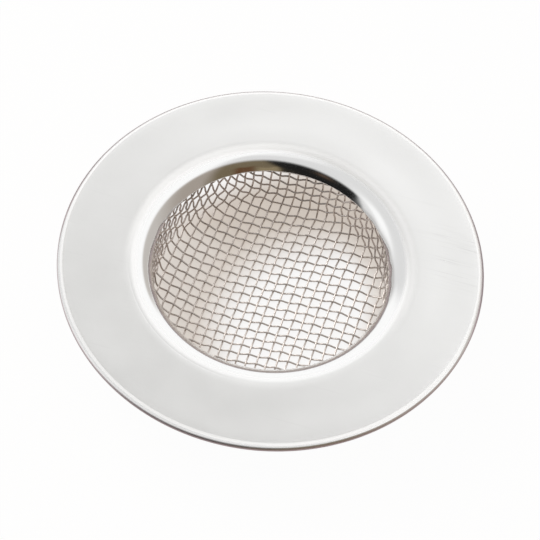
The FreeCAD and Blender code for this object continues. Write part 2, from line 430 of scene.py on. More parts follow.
class Basket:
    """The cup that the cloth is drawn into, and where a place on the flat cloth comes to lie on it."""

    def __init__(self, rim, cloth):
        self.cloth = cloth
        self.rise = weave_rise(cloth)
        self.hem_rise = self.rise + cloth.crossing_gap
        wire_radius = cloth.wire_diameter / 2
        self.floor = self.rise + wire_radius
        depth = rim.sheet + channel_width(cloth) / 2
        lip_radius, lip_height = under_collar(rim, depth)
        self.draw_radius = lip_radius * cloth.draw_share
        slope = rim.shoulder_turn
        reach = lip_radius + cloth.lip_bend_radius * math.sin(slope) - cloth.bottom_radius
        climb = lip_height - cloth.lip_bend_radius * math.cos(slope) - self.floor - cloth.corner_radius
        apart = math.hypot(reach, climb)
        tilt = math.asin((cloth.corner_radius + cloth.lip_bend_radius) / apart)
        lean = math.atan2(climb, reach) + tilt
        self.steps = [
            ("run", cloth.bottom_radius, 0.0),
            ("turn", cloth.corner_radius, lean),
            ("run", apart * math.cos(tilt), 0.0),
            ("turn", cloth.lip_bend_radius, slope - lean),
            ("run", rim.collar_lip, 0.0),
            ("turn", rim.shoulder_radius - depth, -cloth.hem_turn),
        ]
        lengths = [step[1] if step[0] == "run" else step[1] * abs(step[2]) for step in self.steps]
        self.lengths = lengths
        self.reach = sum(lengths)
        self.hem_start = sum(lengths[:STEPS_BEFORE_HEM]) - cloth.wire_diameter
        generator = np.random.default_rng(cloth.seed)
        self.stray = [even_waves(generator, STRAY_WAVES, STRAY_LONGEST, STRAY_SHORTEST) for _ in range(2)]

    def profile(self, reach):
        """Radius, height and heading of the cup at distances from the axis along the cloth, step by step
        as a bent sheet is walked."""
        radius = np.zeros_like(reach)
        height = np.full_like(reach, self.floor)
        heading = np.zeros_like(reach)
        left = reach
        for (kind, extent, angle), length in zip(self.steps, self.lengths):
            part = np.clip(left, 0, length)
            if kind == "run":
                radius = radius + part * np.cos(heading)
                height = height + part * np.sin(heading)
            else:
                bend = math.copysign(extent, angle)
                onward = heading + part / bend
                radius = radius + bend * (np.sin(onward) - np.sin(heading))
                height = height + bend * (np.cos(heading) - np.cos(onward))
                heading = onward
            left = left - part
        return radius, height, heading

    def drape(self, across, along):
        """Distance along the cloth and bearing from +Y. Inside the draw radius a the cloth stays flat.
        Beyond it distance = a/2 + climb(|across|) + climb(|along|) and bearing = 45 degrees +
        (spread(|across|) - spread(|along|)) / a, with climb(c) = c c / 2a up to a and one for one after it,
        and spread(c) = a/2 (asin k + k sqrt(1 - k k)) with k = c / a, at most 1."""
        a = self.draw_radius
        flat = np.hypot(across, along)

        def climb(distance):
            return np.where(distance > a, distance - a / 2, distance * distance / (2 * a))

        def spread(distance):
            k = np.minimum(distance, a) / a
            return a / 2 * (np.arcsin(k) + k * np.sqrt(1 - k * k))

        wide, deep = np.abs(across), np.abs(along)
        bearing = QUARTER_TURN / 2 + (spread(wide) - spread(deep)) / a
        bearing = np.copysign(np.where(along < 0, math.pi - bearing, bearing), across)
        inside = flat <= a
        reach = np.where(inside, flat, a / 2 + climb(wide) + climb(deep))
        return reach, np.where(inside, np.arctan2(across, along), bearing)

    def flat_place(self, weft_way, warp_way):
        """A place on the flat cloth: the rows bow with the square and sway with the cube of the distance
        along them, stray by a few chance waves, and each set leans by an angle of its own."""
        cloth = self.cloth
        aside = self.edge_share(weft_way)
        ahead = self.edge_share(warp_way)
        weft = weft_way + cloth.warp_spread * aside ** 2 + cloth.warp_open * aside ** 3
        weft = weft + cloth.warp_bow * ahead ** 2
        warp = warp_way + cloth.weft_bow * aside ** 2 - cloth.weft_sway * aside ** 3
        warp = warp + cloth.weft_spread * ahead ** 2
        weft = weft + cloth.wander * wave_sum(self.stray[0], weft_way, warp_way)
        warp = warp + cloth.wander * wave_sum(self.stray[1], weft_way, warp_way)
        across = weft * math.cos(cloth.weft_lean) + warp * math.sin(cloth.warp_lean)
        along = weft * math.sin(cloth.weft_lean) + warp * math.cos(cloth.warp_lean)
        return across, along

    def edge_share(self, way):
        """A distance in radii of the bottom. Beyond 1 it levels off as 1 + fade tanh((way - 1) / fade)."""
        radii = way / self.cloth.bottom_radius
        beyond = np.maximum(np.abs(radii) - 1, 0)
        fade = self.cloth.bow_fade
        return np.where(beyond > 0, np.sign(radii) * (1 + fade * np.tanh(beyond / fade)), radii)

    def distance(self, weft_way, warp_way):
        """How far from the axis places on the cloth lie, along the cloth."""
        return self.drape(*self.flat_place(weft_way, warp_way))[0]

    def place(self, weft_way, warp_way, lift):
        """Points on the cup, lifted square to it towards its inside, and the direction of that lift."""
        reach, bearing = self.drape(*self.flat_place(weft_way, warp_way))
        radius, height, heading = self.profile(reach)
        inwards = -np.sin(heading)
        square = np.stack([inwards * np.sin(bearing), inwards * np.cos(bearing), np.cos(heading)], axis=-1)
        middle = np.stack([radius * np.sin(bearing), radius * np.cos(bearing), height], axis=-1)
        return middle + lift[..., None] * square, square


def smooth_step(share_of_way):
    """0 before 0, 1 after 1, and 3 s s - 2 s s s between."""
    inside = np.clip(share_of_way, 0, 1)
    return inside * inside * (3 - 2 * inside)


class ThreadSet:
    """The wires of one direction: which numbers show, where each ends and the route of each."""

    def __init__(self, basket, warp):
        cloth = basket.cloth
        self.basket = basket
        self.warp = warp
        self.side = 1 if warp else -1
        warp_grid = cloth.warp_pitch, cloth.warp_shift
        weft_grid = cloth.weft_pitch, cloth.weft_shift
        self.pitch, self.shift = warp_grid if warp else weft_grid
        self.cross_pitch, self.cross_shift = weft_grid if warp else warp_grid

    def ways(self, numbers, way):
        """Distances along the weft and warp directions of places on wires."""
        own = np.broadcast_to(self.shift + numbers[:, None] * self.pitch, way.shape)
        return (own, way) if self.warp else (way, own)

    def shown(self, numbers):
        """Those wires that dip out of the channel into the open basket."""
        middles = self.ways(numbers, np.zeros((len(numbers), 1)))
        return numbers[self.basket.distance(*middles)[:, 0] < self.basket.hem_start]

    def ends(self, numbers, sign):
        """Where each wire meets the cloth's cut edge on one side, by halving."""
        inner = np.zeros((len(numbers), 1))
        outer = np.full((len(numbers), 1), sign * 2 * self.basket.reach)
        for _ in range(SEARCH_PASSES):
            middle = (inner + outer) / 2
            short = self.basket.distance(*self.ways(numbers, middle)) < self.basket.reach
            inner = np.where(short, middle, inner)
            outer = np.where(short, outer, middle)
        return inner

    def routes(self, numbers):
        """Middle lines of wires and the cup's square direction along them. A wire rides over one crossing and
        under the next as rise cos(pi crossing), and behind the collar it keeps to its side of the cloth."""
        low, high = self.ends(numbers, -1), self.ends(numbers, 1)
        way = low + (high - low) * np.linspace(0, 1, WIRE_STEPS)[None, :]
        weft_way, warp_way = self.ways(numbers, way)
        crossing = (way - self.cross_shift) / self.cross_pitch
        over = self.side * np.where(numbers % 2, -1, 1)[:, None]
        wave = over * self.basket.rise * np.cos(math.pi * crossing)
        reach = self.basket.distance(weft_way, warp_way)
        hem = smooth_step((reach - self.basket.hem_start + self.cross_pitch / 4) / (self.cross_pitch / 2))
        lift = wave * (1 - hem) + self.side * self.basket.hem_rise * hem
        return self.basket.place(weft_way, warp_way, lift)

    def tubes(self, numbers):
        """Skins of wires: circles round each route, from the cup's square direction made square to the route
        and the direction across both."""
        middle, square = self.routes(numbers)
        onward = np.gradient(middle, axis=1)
        onward /= np.linalg.norm(onward, axis=-1, keepdims=True)
        square = square - onward * (square * onward).sum(axis=-1, keepdims=True)
        square /= np.linalg.norm(square, axis=-1, keepdims=True)
        across = np.cross(onward, square)
        angle = np.linspace(0, FULL_TURN, WIRE_SIDES, endpoint=False)[None, None, :, None]
        ring = np.cos(angle) * square[:, :, None] + np.sin(angle) * across[:, :, None]
        return middle[:, :, None] + self.basket.cloth.wire_diameter / 2 * ring


def wire_faces(count):
    """Faces of some tubes that lie one after another: their skins, and a flat end on each end."""
    per_wire = WIRE_STEPS * WIRE_SIDES
    starts = (np.arange(count) * per_wire)[:, None, None]
    skins = (grid_faces(WIRE_STEPS, WIRE_SIDES, False)[None] + starts).reshape(-1, 4)
    near = np.arange(WIRE_SIDES)[None, ::-1] + starts[:, 0]
    far = np.arange(WIRE_SIDES)[None] + per_wire - WIRE_SIDES + starts[:, 0]
    return [skins, np.concatenate([near, far])]


def make_wires(warp, node_start, finish):
    """One piece for each node of a direction: the middle wire, or the two as far out on either side."""
    rim, _, cloth = sizes()
    threads = ThreadSet(Basket(rim, cloth), warp)
    nodes = sorted(node for node in frame["nodes"] if node.startswith(node_start))
    generator = np.random.default_rng(cloth.seed)
    tone_range = WARP_TONES_PAINTED_LIGHT if warp else WEFT_TONES_PAINTED_SHADE
    for node in nodes:
        number = int(node[len(node_start):])
        numbers = threads.shown(np.array(sorted({number, -number})))
        tubes = threads.tubes(numbers)
        piece = mesh_piece(f"woven_{node}", tubes.reshape(-1, 3), wire_faces(len(numbers)))
        # Each wire gets a chance tone within its direction's range; the ranges paint warp wires lighter and
        # weft wires darker.
        bright = generator.uniform(*tone_range, len(numbers))
        tone_and_painted_light = np.repeat(bright, WIRE_STEPS * WIRE_SIDES)
        piece.data.attributes.new("tone_and_painted_light", "FLOAT", "POINT").data.foreach_set("value", tone_and_painted_light.astype(np.float32))
        seat(piece, finish, "wire_steel", node)


# Finishes

NOISE_DETAIL = 3.0
MIX_FACTOR = 0
MIX_FIRST = 6
MIX_SECOND = 7
MIX_COLOUR = 2
OBJECT_PLACE = 3
ATTRIBUTE_VALUE = 2


class Flow:
    """A socket of a node tree. Sums and products of it and numbers add Math nodes."""

    def __init__(self, tree, socket=None):
        self.tree = tree
        self.socket = socket

    def node(self, kind, settings=None, sockets=None, output=0):
        """Adds a node, applies its settings, fills its sockets with values or links, and gives one output."""
        made = self.tree.nodes.new(kind)
        for name, value in (settings or {}).items():
            setattr(made, name, value)
        for name, value in (sockets or {}).items():
            if isinstance(value, Flow):
                self.tree.links.new(value.socket, made.inputs[name])
            else:
                made.inputs[name].default_value = value
        return Flow(self.tree, made.outputs[output])

    def math(self, operation, *values):
        """A Math node on these values."""
        return self.node("ShaderNodeMath", {"operation": operation}, dict(enumerate(values)))

    def __add__(self, other):
        return self.math("ADD", self, other)

    __radd__ = __add__

    def __sub__(self, other):
        return self.math("SUBTRACT", self, other)

    def __rsub__(self, other):
        return self.math("SUBTRACT", other, self)

    def __mul__(self, other):
        return self.math("MULTIPLY", self, other)

    __rmul__ = __mul__

    def __truediv__(self, other):
        return self.math("DIVIDE", self, other)

    def __pow__(self, other):
        return self.math("POWER", self, other)

    def rise(self, low, high):
        """0 below low, 1 above high and a smooth step between."""
        return self.node("ShaderNodeMapRange", {"interpolation_type": "SMOOTHSTEP"},
                         {"Value": self, "From Min": low, "From Max": high})

    def fall(self, low, high):
        """1 below low, 0 above high and a smooth step between."""
        return 1 - self.rise(low, high)

    def band(self, coming, going):
        """1 within a band that comes and goes over two pairs of limits, and 0 outside it."""
        return self.rise(*coming) * self.fall(*going)

    def hump(self, middle, width):
        """1 at middle, falling as a bell of this width: 1 / (1 + d d d d), d = (value - middle) / width."""
        off = (self - middle) / width
        return self.math("DIVIDE", 1.0, off * off * off * off + 1)

    def beside(self, name):
        """Another output of the same node."""
        return Flow(self.tree, self.socket.node.outputs[name])

    def axes(self):
        """The three parts of a vector."""
        parts = self.node("ShaderNodeSeparateXYZ", sockets={"Vector": self})
        return [parts.beside(name) for name in "XYZ"]

    def mix(self, first, second):
        """A colour between two, by this value."""
        ends = {MIX_FACTOR: self, MIX_FIRST: first, MIX_SECOND: second}
        return self.node("ShaderNodeMix", {"data_type": "RGBA"}, ends, MIX_COLOUR)

    def tone(self, colour_value, factor):
        """A colour, darkened by the factor where this value is 0."""
        return self.mix(darker(colour_value, factor), solid(colour_value))

    def noise(self, scale, detail=NOISE_DETAIL):
        """Noise at this place, between 0 and 1 about 0.5."""
        return self.node("ShaderNodeTexNoise", sockets={"Vector": self, "Scale": scale, "Detail": detail})

    def turned(self, angle, stretch):
        """This place turned about Z and stretched along its axes."""
        turned = {"Vector": self, "Rotation": (0, 0, angle), "Scale": stretch}
        return self.node("ShaderNodeMapping", sockets=turned)


def solid(colour_value):
    """A colour with full cover."""
    return (*colour_value, 1.0)


def darker(colour_value, factor):
    """A colour with full cover, scaled down."""
    return solid(part * factor for part in colour_value)


def new_finish(name):
    """A material, its bare flow, its shader and the place on the piece in millimetres."""
    material = bpy.data.materials.new(name)
    material.use_nodes = True
    tree = material.node_tree
    flow = Flow(tree)
    place = flow.node("ShaderNodeTexCoord", output=OBJECT_PLACE)
    scaled = flow.node("ShaderNodeVectorMath", {"operation": "SCALE"}, {"Vector": place, "Scale": PER_METRE})
    return material, flow, tree.nodes["Principled BSDF"], scaled


def flat_length(x, y):
    """Length of a level way: the root of x x + y y."""
    return (x * x + y * y) ** 0.5


def feed(shader, flows):
    """Links flows to a shader's sockets by their names."""
    for name, value in flows.items():
        value.tree.links.new(value.socket, shader.inputs[name])


# The rim's finish. Places are millimetres. A pair says where a change starts and ends, two pairs where a band
# comes and goes, and the pair of a hump is its middle and its width.

SHOULDER_POLISH = (28.4, 30.2)
HEM_POLISH = (43.5, 43.9)
EDGE_STARTS = (44.7, 44.95)
CLOUD_SCALE = 0.11
GRAIN_SCALE = 2.6
GRAIN_DETAIL = 4.0
HAIR_TURN = math.radians(-18.0)
HAIR_STRETCH = (0.07, 2.3, 1.0)
HAIR_SHOWS = (0.56, 0.7)
HAIR_X = (38.0, 5.5)
HAIR_Y = (13.0, 5.0)
LONG_TURN = math.radians(32.0)
LONG_STRETCH = (0.05, 1.6, 1.0)
LONG_DETAIL = 2.0
LONG_SHOWS = (0.66, 0.72)
LONG_SHARE = 0.1
CLOUD_SHARE = 0.85
CLOUD_TONE = 0.93
SCRATCH_TONE = 0.72
POLISH_ROUGH = 0.12
EDGE_ROUGH = 0.3
MATT_ROUGH = 0.04
CLOUD_ROUGH = 0.06
GRAIN_ROUGH = 0.02
SCRATCH_ROUGH = 0.08
SATIN_BAND = (27.8, 29.4), (44.2, 44.6)
SATIN_SHARE = 0.38
HEM_TOP_BAND = (43.7, 44.0), (44.4, 44.75)
HEM_TOP_SHARE = 0.45
BORDER_BAND = (28.0, 29.0), (29.8, 31.2)
BORDER_SHARE = 0.25
BACK_Y = (-14.0, 0.0)
BACK_LEFT_X = 0.77
BACK_LEFT_Y = 0.64
BACK_LEFT = (0.55, 0.95)
DIE_RADIUS = (30.1, 0.1)
DIE_Y = (-16.0, -8.0)
DIE_X = (-6.0, 2.0)
DIE_DEPTH = 0.8
NEAR_EASE = 6.0
NEAR_ZONE = (28.0, 31.5)
FAR_EASE = 4.0
FAR_ZONE = (29.0, 35.0)
GRAIN_HEIGHT = 0.03
SCRATCH_DEPTH = 1.5
RIM_BUMP = 0.35
BUMP_DISTANCE = 0.00002
HEM_MIDDLE = 43.8
HEM_ROUND = 1.2
FRONT_ROLL = 0.55
ROLL_CHANGE = 1.15
ROLL_Y = (-15.0, 10.0)


def rim_finish(finishes):
    """Satin steel sheet with a polished shoulder, collar and hem, whose outermost turn is tinted mauve as a
    painted reflection of the table's shade. The flange has faint clouds, grain, hair scratches and the ring
    that the die left. A satin share of it doesn't mirror, with more on top of the hem and at the shoulder's
    border behind the throat. Bumps ease that border, and shade the hem flatter in front and rounder behind by
    roll r (1 - sqrt(1 - d d)), with d the share of the way over its round r."""
    material, flow, shader, place = new_finish("satin_rim_steel")
    x, y, _ = place.axes()
    radius = flat_length(x, y)
    polish = flow.math("MAXIMUM", radius.fall(*SHOULDER_POLISH), radius.rise(*HEM_POLISH))
    matt = 1 - polish
    # edge marks the hem's outermost turn, which gets the mauve painted reflection of the table's shade and a
    # rougher finish.
    edge = radius.rise(*EDGE_STARTS)

    clouds = place.noise(CLOUD_SCALE)
    grain = place.noise(GRAIN_SCALE, GRAIN_DETAIL)
    hairs = place.turned(HAIR_TURN, HAIR_STRETCH).noise(1.0).rise(*HAIR_SHOWS)
    hairs = hairs * (x.hump(*HAIR_X) * y.hump(*HAIR_Y))
    long_hairs = place.turned(LONG_TURN, LONG_STRETCH).noise(1.0, LONG_DETAIL).rise(*LONG_SHOWS)
    scratches = flow.math("MAXIMUM", hairs, long_hairs * LONG_SHARE)

    base = (clouds * CLOUD_SHARE + grain * (1 - CLOUD_SHARE)).tone(finishes.satin, CLOUD_TONE)
    base = scratches.mix(base, darker(finishes.satin, SCRATCH_TONE))
    base = polish.mix(base, solid(finishes.polished))
    # The hem's outer turn takes the mauve edge colour, a painted reflection of the table's shade.
    base = edge.mix(base, solid(finishes.edge))
    matt_rough = MATT_ROUGH + CLOUD_ROUGH * clouds + GRAIN_ROUGH * grain + SCRATCH_ROUGH * scratches
    rough = POLISH_ROUGH + EDGE_ROUGH * edge + matt * matt_rough

    back_left = ((BACK_LEFT_Y * y - BACK_LEFT_X * x) / radius).rise(*BACK_LEFT)
    border = (y.rise(*BACK_Y) + back_left) * radius.band(*BORDER_BAND)
    metal = 1 - SATIN_SHARE * radius.band(*SATIN_BAND) - HEM_TOP_SHARE * radius.band(*HEM_TOP_BAND)
    metal = metal - BORDER_SHARE * border

    die_mark = radius.hump(*DIE_RADIUS) * y.fall(*DIE_Y) * x.fall(*DIE_X)
    eased = NEAR_EASE * radius.rise(*NEAR_ZONE) + FAR_EASE * radius.rise(*FAR_ZONE)
    height = matt * (GRAIN_HEIGHT * grain - SCRATCH_DEPTH * scratches) - DIE_DEPTH * die_mark + eased
    marks = flow.node("ShaderNodeBump", sockets={
        "Strength": RIM_BUMP, "Distance": BUMP_DISTANCE, "Height": height})
    over_hem = flow.math("MINIMUM", flow.math("MAXIMUM", radius - HEM_MIDDLE, 0.0) / HEM_ROUND, 1.0)
    drop = HEM_ROUND * (1 - (1 - over_hem * over_hem) ** 0.5)
    roll = FRONT_ROLL - ROLL_CHANGE * y.rise(*ROLL_Y)
    rolled = flow.node("ShaderNodeBump", sockets={
        "Strength": 1.0, "Distance": 1 / PER_METRE, "Height": roll * drop, "Normal": marks})
    feed(shader, {"Metallic": metal, "Base Color": base, "Roughness": rough, "Normal": rolled})
    return material


# The finishes of the ring and the wires

STREAKS_PER_MM = 6.0
RING_CLOUD_SCALE = 0.2
STREAK_SHARE = 0.6
RING_TONE = 0.82
RING_BUMP = 0.3
RING_ROUGH = 0.22
STREAK_ROUGH = 0.16
WIRE_GRAIN_SCALE = 3.0
TINT_SHARE = 0.8
WIRE_TONE = 0.6
WIRE_SATIN = 0.3
WIRE_ROUGH = 0.32
WIRE_GRAIN_ROUGH = 0.14


def ring_finish(finishes):
    """Pressed steel with the streaks that the tool leaves round it."""
    material, flow, shader, place = new_finish("pressed_ring_steel")
    x, y, z = place.axes()
    around = {"X": flat_length(x, y) * STREAKS_PER_MM, "Y": z * STREAKS_PER_MM}
    streaks = flow.node("ShaderNodeCombineXYZ", sockets=around).noise(1.0)
    clouds = place.noise(RING_CLOUD_SCALE)
    base = (streaks * STREAK_SHARE + clouds * (1 - STREAK_SHARE)).tone(finishes.ring, RING_TONE)
    bump = flow.node("ShaderNodeBump", sockets={
        "Strength": RING_BUMP, "Distance": BUMP_DISTANCE, "Height": streaks})
    shader.inputs["Metallic"].default_value = 1.0
    feed(shader, {"Base Color": base, "Roughness": RING_ROUGH + STREAK_ROUGH * streaks, "Normal": bump})
    return material


def wire_finish(finishes):
    """Drawn steel wire, darker or lighter from wire to wire, with a fine drawn grain. Beyond the chance tone,
    warp wires are painted lighter and weft wires darker, as painted light and shade, and the lighter wires
    mirror less.
    """
    material, flow, shader, place = new_finish("drawn_wire_steel")
    tone_and_painted_light = flow.node("ShaderNodeAttribute", {"attribute_name": "tone_and_painted_light"}, output=ATTRIBUTE_VALUE)
    grain = place.noise(WIRE_GRAIN_SCALE)
    base = (tone_and_painted_light * TINT_SHARE + grain * (1 - TINT_SHARE)).tone(finishes.wire, WIRE_TONE)
    rough = WIRE_ROUGH + WIRE_GRAIN_ROUGH * grain
    feed(shader, {"Metallic": 1 - WIRE_SATIN * tone_and_painted_light, "Base Color": base, "Roughness": rough})
    return material


# The table's finish with its painted light and shade, with places in millimetres

LIT_EDGE = (-7.0, 8.0)
RIGHT_RADII = (19.0, 25.0)
RIGHT_X = (8.0, 16.0)
RIGHT_Y = (-14.0, -2.0)
RIGHT_SHADE = 0.75
LEFT_X = (-18.0, -6.0)
LEFT_Y = (8.0, 16.0)
LEFT_LIGHT = 0.25
SHADOW_EDGE = (-5.0, 4.0)
SHADE_ENDS = (31.5, 36.5)
FAR_STARTS = (150.0, 700.0)
TABLE_ROUGH = 0.9
SHADE_GLOW = 0.74
LIT_GLOW = 0.14
OUTSIDE_GLOW = 0.23
FAR_GLOW = 0.03


def table_finish(finishes, lit_middle, rim):
    """Pale table, lit by the lamps, with a glow over most of it that carries painted light and shade: painted
    light where the key lamp reaches it through the throat or past the rim, and painted beige shade between,
    which reaches in on the right and is paler on the left. Round the strainer it passes into plain white."""
    material, flow, shader, place = new_finish("pale_table")
    x, y, _ = place.axes()
    radius = flat_length(x, y)
    off = flat_length(x - lit_middle.x * PER_METRE, y - lit_middle.y * PER_METRE)
    # Painted light and shade: lit paints the key lamp's pool of light through the throat, right_shade paints
    # more shade on the right and left_light paints paler shade on the left.
    lit = (off - rim.throat_radius * PER_METRE).fall(*LIT_EDGE)
    right_shade = radius.rise(*RIGHT_RADII) * x.rise(*RIGHT_X) * y.rise(*RIGHT_Y)
    left_light = x.fall(*LEFT_X) * y.fall(*LEFT_Y)
    lit = flow.math("MAXIMUM", lit * (1 - RIGHT_SHADE * right_shade), LEFT_LIGHT * left_light)
    # past_shadow paints where the rim's shadow on the table ends.
    past_shadow = (off - rim.outer_radius * PER_METRE).rise(*SHADOW_EDGE)
    outside = flow.math("MAXIMUM", past_shadow, radius.rise(*SHADE_ENDS))
    far = radius.rise(*FAR_STARTS)
    camera = flow.node("ShaderNodeLightPath")
    mirrored = flow.math("MAXIMUM", camera.beside("Is Glossy Ray"), camera.beside("Is Transmission Ray"))
    # Painted shadow in reflections: mirrored rays see the under colour close to the strainer, passing into
    # white far off.
    mirrored_painted_shadow = mirrored.mix(WHITE, far.mix(solid(finishes.under), WHITE))
    # The glow's colour is the painted light and shade: the painted beige shade, painted light in the lit
    # pool, and white round the strainer.
    painted_light_and_shade = outside.mix(lit.mix(solid(finishes.shade), WHITE), mirrored_painted_shadow)
    glow = flow.node("ShaderNodeEmission", sockets={"Color": painted_light_and_shade, "Strength": 1.0})
    lift = SHADE_GLOW + LIT_GLOW * lit * (1 - outside) + OUTSIDE_GLOW * outside + FAR_GLOW * far
    seen = lift * flow.math("MAXIMUM", camera, mirrored)
    shader.inputs["Base Color"].default_value = solid(finishes.table)
    shader.inputs["Roughness"].default_value = TABLE_ROUGH
    shader.inputs["Specular IOR Level"].default_value = 0.0
    plain = Flow(flow.tree, shader.outputs[0])
    surface = flow.node("ShaderNodeMixShader", sockets={0: seen, 1: plain, 2: glow})
    flow.tree.links.new(surface.socket, flow.tree.nodes["Material Output"].inputs["Surface"])
    return material


# Stage. Bearings and elevations are degrees, in pairs as above.

DEGREES = math.degrees(1.0)
WHITE = (1.0, 1.0, 1.0, 1.0)
CARD_GREY = (0.73, 0.73, 0.73, 1.0)
PATCH_GREY = (0.42, 0.415, 0.405, 1.0)
SILL_GREY = (0.44, 0.43, 0.42, 1.0)
ROOM_DARK = (0.012, 0.012, 0.012, 1.0)
ROOM_UMBER = (0.075, 0.05, 0.035, 1.0)
ROOM_BROWN = (0.11, 0.055, 0.027, 1.0)
ROOM_BEIGE = (0.25, 0.20, 0.12, 1.0)
ROOM_OLIVE = (0.165, 0.132, 0.082, 1.0)
ROOM_TAN = (0.37, 0.325, 0.285, 1.0)
ROOM_GREY = (0.54, 0.51, 0.48, 1.0)
LEFT_CARD = (55.0, 67.0)
LEFT_SLANT = 0.7
LEFT_LEVEL = 22.0
CAMERA_CARD = (-78.0, -50.0), (0.0, 60.0)
CARD_THINS = (74.0, 84.0)
THIN_SHARE = 0.6
PATCH_LEFT = 0.077
PATCH_BACK = 0.424
PATCH_UP = 0.902
PATCH_EDGE = math.cos(math.radians(13.5))
PATCH_CORE = math.cos(math.radians(5.5))
SILL_ENDS = (0.0, 16.0)
WINDOW_BEARING = (108.0, 14.0)
WINDOW_SLANT = 0.6
WINDOW_HEIGHT = (30.0, 15.0)
ROOM_MIDDLE = -25.0
ROOM_BAND = (-155.0, -142.0), (64.0, 70.0)
CEILING_TOP = 59.0
CEILING_FALL = 0.0028
CEILING_EDGE = (-6.0, 6.0)
TAN_STARTS = (-112.0, -76.0)
OLIVE_STARTS = (-64.0, -47.0)
DARK_STARTS = (-5.0, 3.0)
DARK_SLANT = 0.4
DARK_LEVEL = 25.0
BROWN_BEARING = (-28.0, 6.5)
BROWN_ENDS = (31.0, 37.0)
BEIGE_BEARING = (-9.0, 7.0)
BEIGE_ENDS = (24.0, 31.0)
UMBER_BEARING = (36.0, 6.0)
UMBER_HEIGHT = (36.0, 6.0)
CLIP_SHARE = 0.01


def make_world(studio):
    """White light all round, by bearing from the camera, with its left above zero, by bearing from straight
    behind and by elevation. Light grey fills the left and the camera's side, with a white window low on the
    left and a darker patch high behind. A dark room on the camera's side, below a ceiling that falls with
    the square of the bearing, passes through brown, olive and tan into grey on the right."""
    world = bpy.data.worlds.new("white_studio")
    world.use_nodes = True
    bpy.context.scene.world = world
    flow = Flow(world.node_tree)
    x, y, z = flow.node("ShaderNodeTexCoord").axes()
    to_camera = x * math.cos(studio.bearing) + y * math.sin(studio.bearing)
    to_left = x * math.sin(studio.bearing) - y * math.cos(studio.bearing)
    bearing = flow.math("ARCTAN2", to_left, to_camera) * DEGREES
    from_back = flow.math("ARCTAN2", to_left, 0 - to_camera) * DEGREES
    elevation = flow.math("ARCSINE", z) * DEGREES

    left_level = flow.math("MAXIMUM", elevation, LEFT_LEVEL)
    left_side = (from_back + LEFT_SLANT * left_level).rise(*LEFT_CARD)
    card = flow.math("MAXIMUM", left_side, bearing.band(*CAMERA_CARD))
    card = card * (1 - THIN_SHARE * elevation.rise(*CARD_THINS))
    to_patch = to_left * PATCH_LEFT - to_camera * PATCH_BACK + z * PATCH_UP
    around = to_patch.rise(PATCH_EDGE, PATCH_CORE).mix(card.mix(WHITE, CARD_GREY), PATCH_GREY)
    around = (left_side * elevation.fall(*SILL_ENDS)).mix(around, SILL_GREY)
    window = (bearing + WINDOW_SLANT * elevation).hump(*WINDOW_BEARING) * elevation.hump(*WINDOW_HEIGHT)
    around = window.mix(around, WHITE)

    off_middle = bearing - ROOM_MIDDLE
    ceiling = CEILING_TOP - CEILING_FALL * off_middle * off_middle
    room = (elevation - ceiling).fall(*CEILING_EDGE) * bearing.band(*ROOM_BAND)
    slanted = bearing + DARK_SLANT * (elevation - DARK_LEVEL)
    tones = [
        (bearing.rise(*TAN_STARTS), ROOM_TAN),
        (bearing.rise(*OLIVE_STARTS), ROOM_OLIVE),
        (slanted.rise(*DARK_STARTS), ROOM_DARK),
        (bearing.hump(*BROWN_BEARING) * elevation.fall(*BROWN_ENDS), ROOM_BROWN),
        (bearing.hump(*BEIGE_BEARING) * elevation.fall(*BEIGE_ENDS), ROOM_BEIGE),
        (bearing.hump(*UMBER_BEARING) * elevation.hump(*UMBER_HEIGHT), ROOM_UMBER),
    ]
    inside = ROOM_GREY
    for where, tone in tones:
        inside = where.mix(inside, tone)
    around = room.mix(around, inside)

    light = flow.node("ShaderNodeLightPath").mix(around, WHITE)
    background = world.node_tree.nodes["Background"]
    background.inputs["Strength"].default_value = 1.0
    world.node_tree.links.new(light.socket, background.inputs["Color"])


def direction(bearing, elevation):
    """A direction from the strainer: level cos bearing, level sin bearing and sin elevation."""
    level = math.cos(elevation)
    return Vector((level * math.cos(bearing), level * math.sin(bearing), math.sin(elevation)))


def key_direction(studio):
    """Where the key lamp stands, as a direction from the strainer."""
    return direction(studio.bearing + math.pi + studio.key_bearing, studio.key_elevation)


def new_lamp(name, kind, lit):
    """A lamp that lights these pieces alone."""
    lamp = bpy.data.objects.new(name, bpy.data.lights.new(name, kind))
    lit_pieces = bpy.data.collections.new(f"lit_by_{name}")
    for piece in lit:
        lit_pieces.objects.link(piece)
    lamp.light_linking.receiver_collection = lit_pieces
    bpy.context.scene.collection.objects.link(lamp)
    return lamp


def make_key(studio):
    """A soft lamp behind and to the left of the strainer, as the camera sees it, for all but the rim."""
    others = [piece for piece in bpy.data.objects if piece.name != RIM_PIECE]
    key = new_lamp("key", "AREA", others)
    key.data.shape = "DISK"
    key.data.size = studio.key_size
    key.data.energy = studio.key_power
    towards = key_direction(studio)
    key.location = towards * studio.key_distance
    key.rotation_mode = "QUATERNION"
    key.rotation_quaternion = towards.to_track_quat("Z", "Y")


def make_top_light(studio):
    """A wide soft light from above for the rim's satin share alone."""
    top_light = new_lamp("top_light", "SUN", [bpy.data.objects[RIM_PIECE]])
    top_light.data.energy = studio.top_strength
    top_light.data.angle = studio.top_spread
    top_light.visible_glossy = False


def make_table(studio, finish):
    """A flat table under the wires."""
    corners = studio.table_reach * np.array([[-1, -1, 0], [1, -1, 0], [1, 1, 0], [-1, 1, 0]])
    table = mesh_piece("table", corners, [np.array([[0, 1, 2, 3]])])
    table.data.materials.append(finish)


